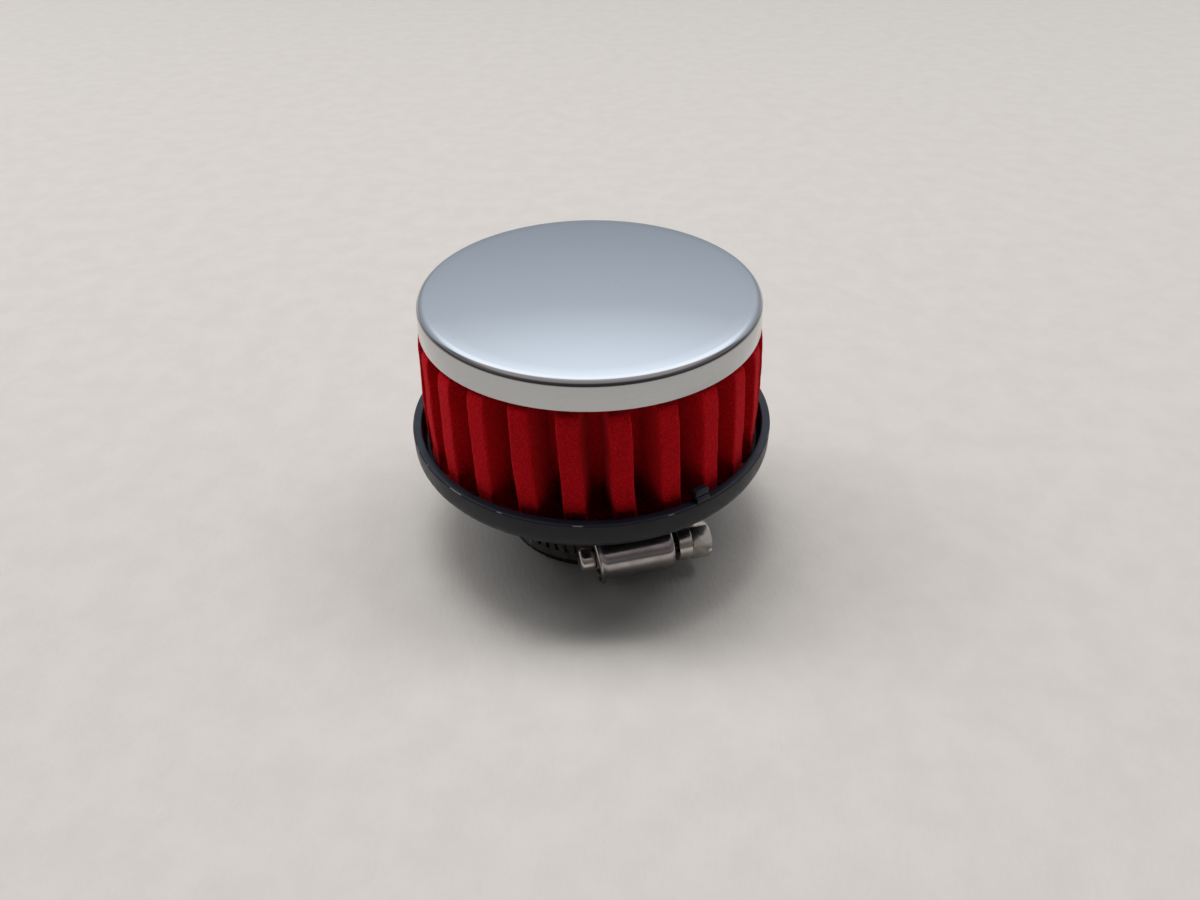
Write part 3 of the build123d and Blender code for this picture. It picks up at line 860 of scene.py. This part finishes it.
# The housing's steel is painted darker than bare stainless, a painted shade for the shadow under
# the tray.
tree.links.new(blended(tree, stain, (0.34, 0.315, 0.305), (0.43, 0.40, 0.39)), shader["Base Color"])
tree.links.new(blended(tree, stain, 0.21, 0.15), shader["Roughness"])
along = place_on(tree, scale=(0.06, 1.0, 1.0), turn=(0, 0, math.radians(clamp_azimuth)))
lines = masked(tree, brushing, along, Density=3500.0)
tree.links.new(bump(tree, lines, 0.00001, 0.5), shader["Normal"])
housing.data.materials.append(pressed_steel)
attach(housing, "filter")
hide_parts("clamp_housing")


# Clamp screw
# A nickel-plated worm screw that turns in the housing. It has a rounded tip, a worm thread, a
# flat-faced collar turned on a lathe, and an 8 mm hexagon head with a slot for a screwdriver.
tip_y, core_y, thrust_y = -10.3, -6.7, 11.2
collar_y, head_y, head_end_y, facet_tilt = 13.8, 17.3, 22.15, 57.0
tip_screw_r, core_r, neck_screw_r, collar_r, across_flats = 3.0, 2.6, 2.3, 4.3, 8.0
tip_flat_r, cone_length, cone_in = 1.2, 1.7, 0.75
worm_r, worm_at_r, worm_start, worm_pitch, worm_turns = 0.78, 2.80, 1.4, 2.5, 6
driver_slot_w, driver_slot_depth = 1.1, 1.4


def lay_along_screw(piece):
    """Turns a piece drawn on Z to lie along the screw's own axis."""
    bpy.ops.object.select_all(action="DESELECT")
    piece.select_set(True)
    bpy.context.view_layer.objects.active = piece
    piece.rotation_euler = (math.radians(-90), 0, 0)
    piece.location = (screw_x * MM, 0, 0)
    bpy.ops.object.transform_apply(location=True, rotation=True)


screw = turned("worm_screw", [
    (tip_flat_r, tip_y, 0),
    (tip_screw_r, tip_y, 1.1),
    (tip_screw_r, core_y, 0.15),
    (core_r, core_y + 0.3, 0),
    (core_r, thrust_y, 0),
    (neck_screw_r, thrust_y, 0),
    (neck_screw_r, collar_y, 0),
    (collar_r, collar_y, 0.3),
    (collar_r, head_y, 0.35),
    (3.2, head_y, 0),
], 96)
show_only(screw, "EDGE")
pick(screw, lambda co: abs(co.z - tip_y * MM) < 1e-6
     and abs(co.xy.length - tip_flat_r * MM) < 1e-5, "edges")
bpy.ops.mesh.extrude_region_move(TRANSFORM_OT_translate={"value": (0, 0, 0.05 * MM)})
bpy.ops.transform.resize(value=(0.01, 0.01, 1), center_override=(0, 0, (tip_y + 0.05) * MM))
bpy.ops.object.mode_set(mode="OBJECT")

# The worm: one small ridge wound along the core.
bpy.ops.object.select_all(action="DESELECT")
bpy.ops.mesh.primitive_circle_add(
    vertices=4, radius=worm_r * MM, location=(0, 0, 0), rotation=(math.radians(90), 0, 0)
)
worm = bpy.context.object
worm.scale = (0.9, 1.0, 1.0)
worm.location = (worm_at_r * MM, 0, (core_y + worm_start) * MM)
bpy.ops.object.transform_apply(location=True, rotation=True, scale=True)
modify(
    worm, "SCREW", angle=math.radians(360 * worm_turns), screw_offset=worm_pitch * worm_turns * MM,
    steps=32 * worm_turns, render_steps=32 * worm_turns, iterations=1, axis="Z",
    use_smooth_shade=False,
)
show_only(worm, "EDGE")
bpy.ops.mesh.select_non_manifold()
bpy.ops.mesh.edge_face_add()
bpy.ops.object.mode_set(mode="OBJECT")
close_up(worm, 30.0)

# The hexagon head, its end turned to a cone on the lathe, with the driver's slot across it.
corner_r = across_flats / math.sqrt(3)
bpy.ops.object.select_all(action="DESELECT")
bpy.ops.mesh.primitive_cylinder_add(
    vertices=6, radius=corner_r * MM, depth=(head_end_y - head_y) * MM,
    location=(0, 0, (head_y + head_end_y) / 2 * MM),
)
head = bpy.context.object
bpy.ops.object.transform_apply(location=True)
cone = turned("cone", [
    (corner_r + 1, head_y - 1, 0),
    (corner_r + 1, head_end_y - cone_length, 0),
    (corner_r - cone_in, head_end_y + 0.02, 0),
], 96)
show_only(cone, "EDGE")
bpy.ops.mesh.select_non_manifold()
bpy.ops.mesh.edge_face_add()
bpy.ops.object.mode_set(mode="OBJECT")
close_up(cone)
modify(head, "BOOLEAN", operation="INTERSECT", object=cone, solver="EXACT")
slot_cut = block(
    "slot_cut", (-6.0, -driver_slot_w / 2, head_end_y - driver_slot_depth),
    (6.0, driver_slot_w / 2, head_end_y + 1.0), 0.05,
)
modify(head, "BOOLEAN", operation="DIFFERENCE", object=slot_cut, solver="EXACT")
bpy.data.objects.remove(cone)
bpy.data.objects.remove(slot_cut)
modify(
    head, "BEVEL", width=0.12 * MM, segments=2, limit_method="ANGLE",
    angle_limit=math.radians(25),
)
head.rotation_euler = (0, 0, math.radians(60 - facet_tilt))
bpy.ops.object.transform_apply(rotation=True)
join(screw, worm, head)
close_up(screw, 35.0)
lay_along_screw(screw)
set_clamp(screw)

nickel, tree, shader = material("nickel_plated_steel", Metallic=1.0)
plating = masked(tree, clouding, place_on(tree), Density=420.0)
bright = blended(tree, plating, (0.46, 0.43, 0.39), (0.58, 0.55, 0.51))
along_screw = place_on(tree, turn=(0, 0, math.radians(90 - clamp_azimuth)))
reach = node(tree, "ShaderNodeSeparateXYZ", {"Vector": along_screw}).outputs["Y"]
# The screw's neck between the housing's end wall and the collar is painted near black, a painted
# shade for the dark gap there.
from_gap = calculate(
    tree, "ABSOLUTE", calculate(tree, "SUBTRACT", reach, (thrust_y + collar_y) / 2 * MM)
)
painted_gap_shade = rising(tree, from_gap, 0.0012, 0.0015, 1.0, 0.0)
tree.links.new(
    node(
        tree, "ShaderNodeMix", {0: painted_gap_shade, 6: bright, 7: (0.03, 0.025, 0.02, 1.0)}, data_type="RGBA"
    ).outputs[2],
    shader["Base Color"],
)
tree.links.new(blended(tree, plating, 0.26, 0.16), shader["Roughness"])
lathe = place_on(tree, scale=(0.02, 1.0, 0.02), turn=(0, 0, math.radians(90 - clamp_azimuth)))
lines = masked(tree, brushing, lathe, Density=4200.0)
tree.links.new(bump(tree, lines, 0.000012, 0.5), shader["Normal"])
screw.data.materials.append(nickel)
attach(screw, "clamp_screw")
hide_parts("clamp_screw")
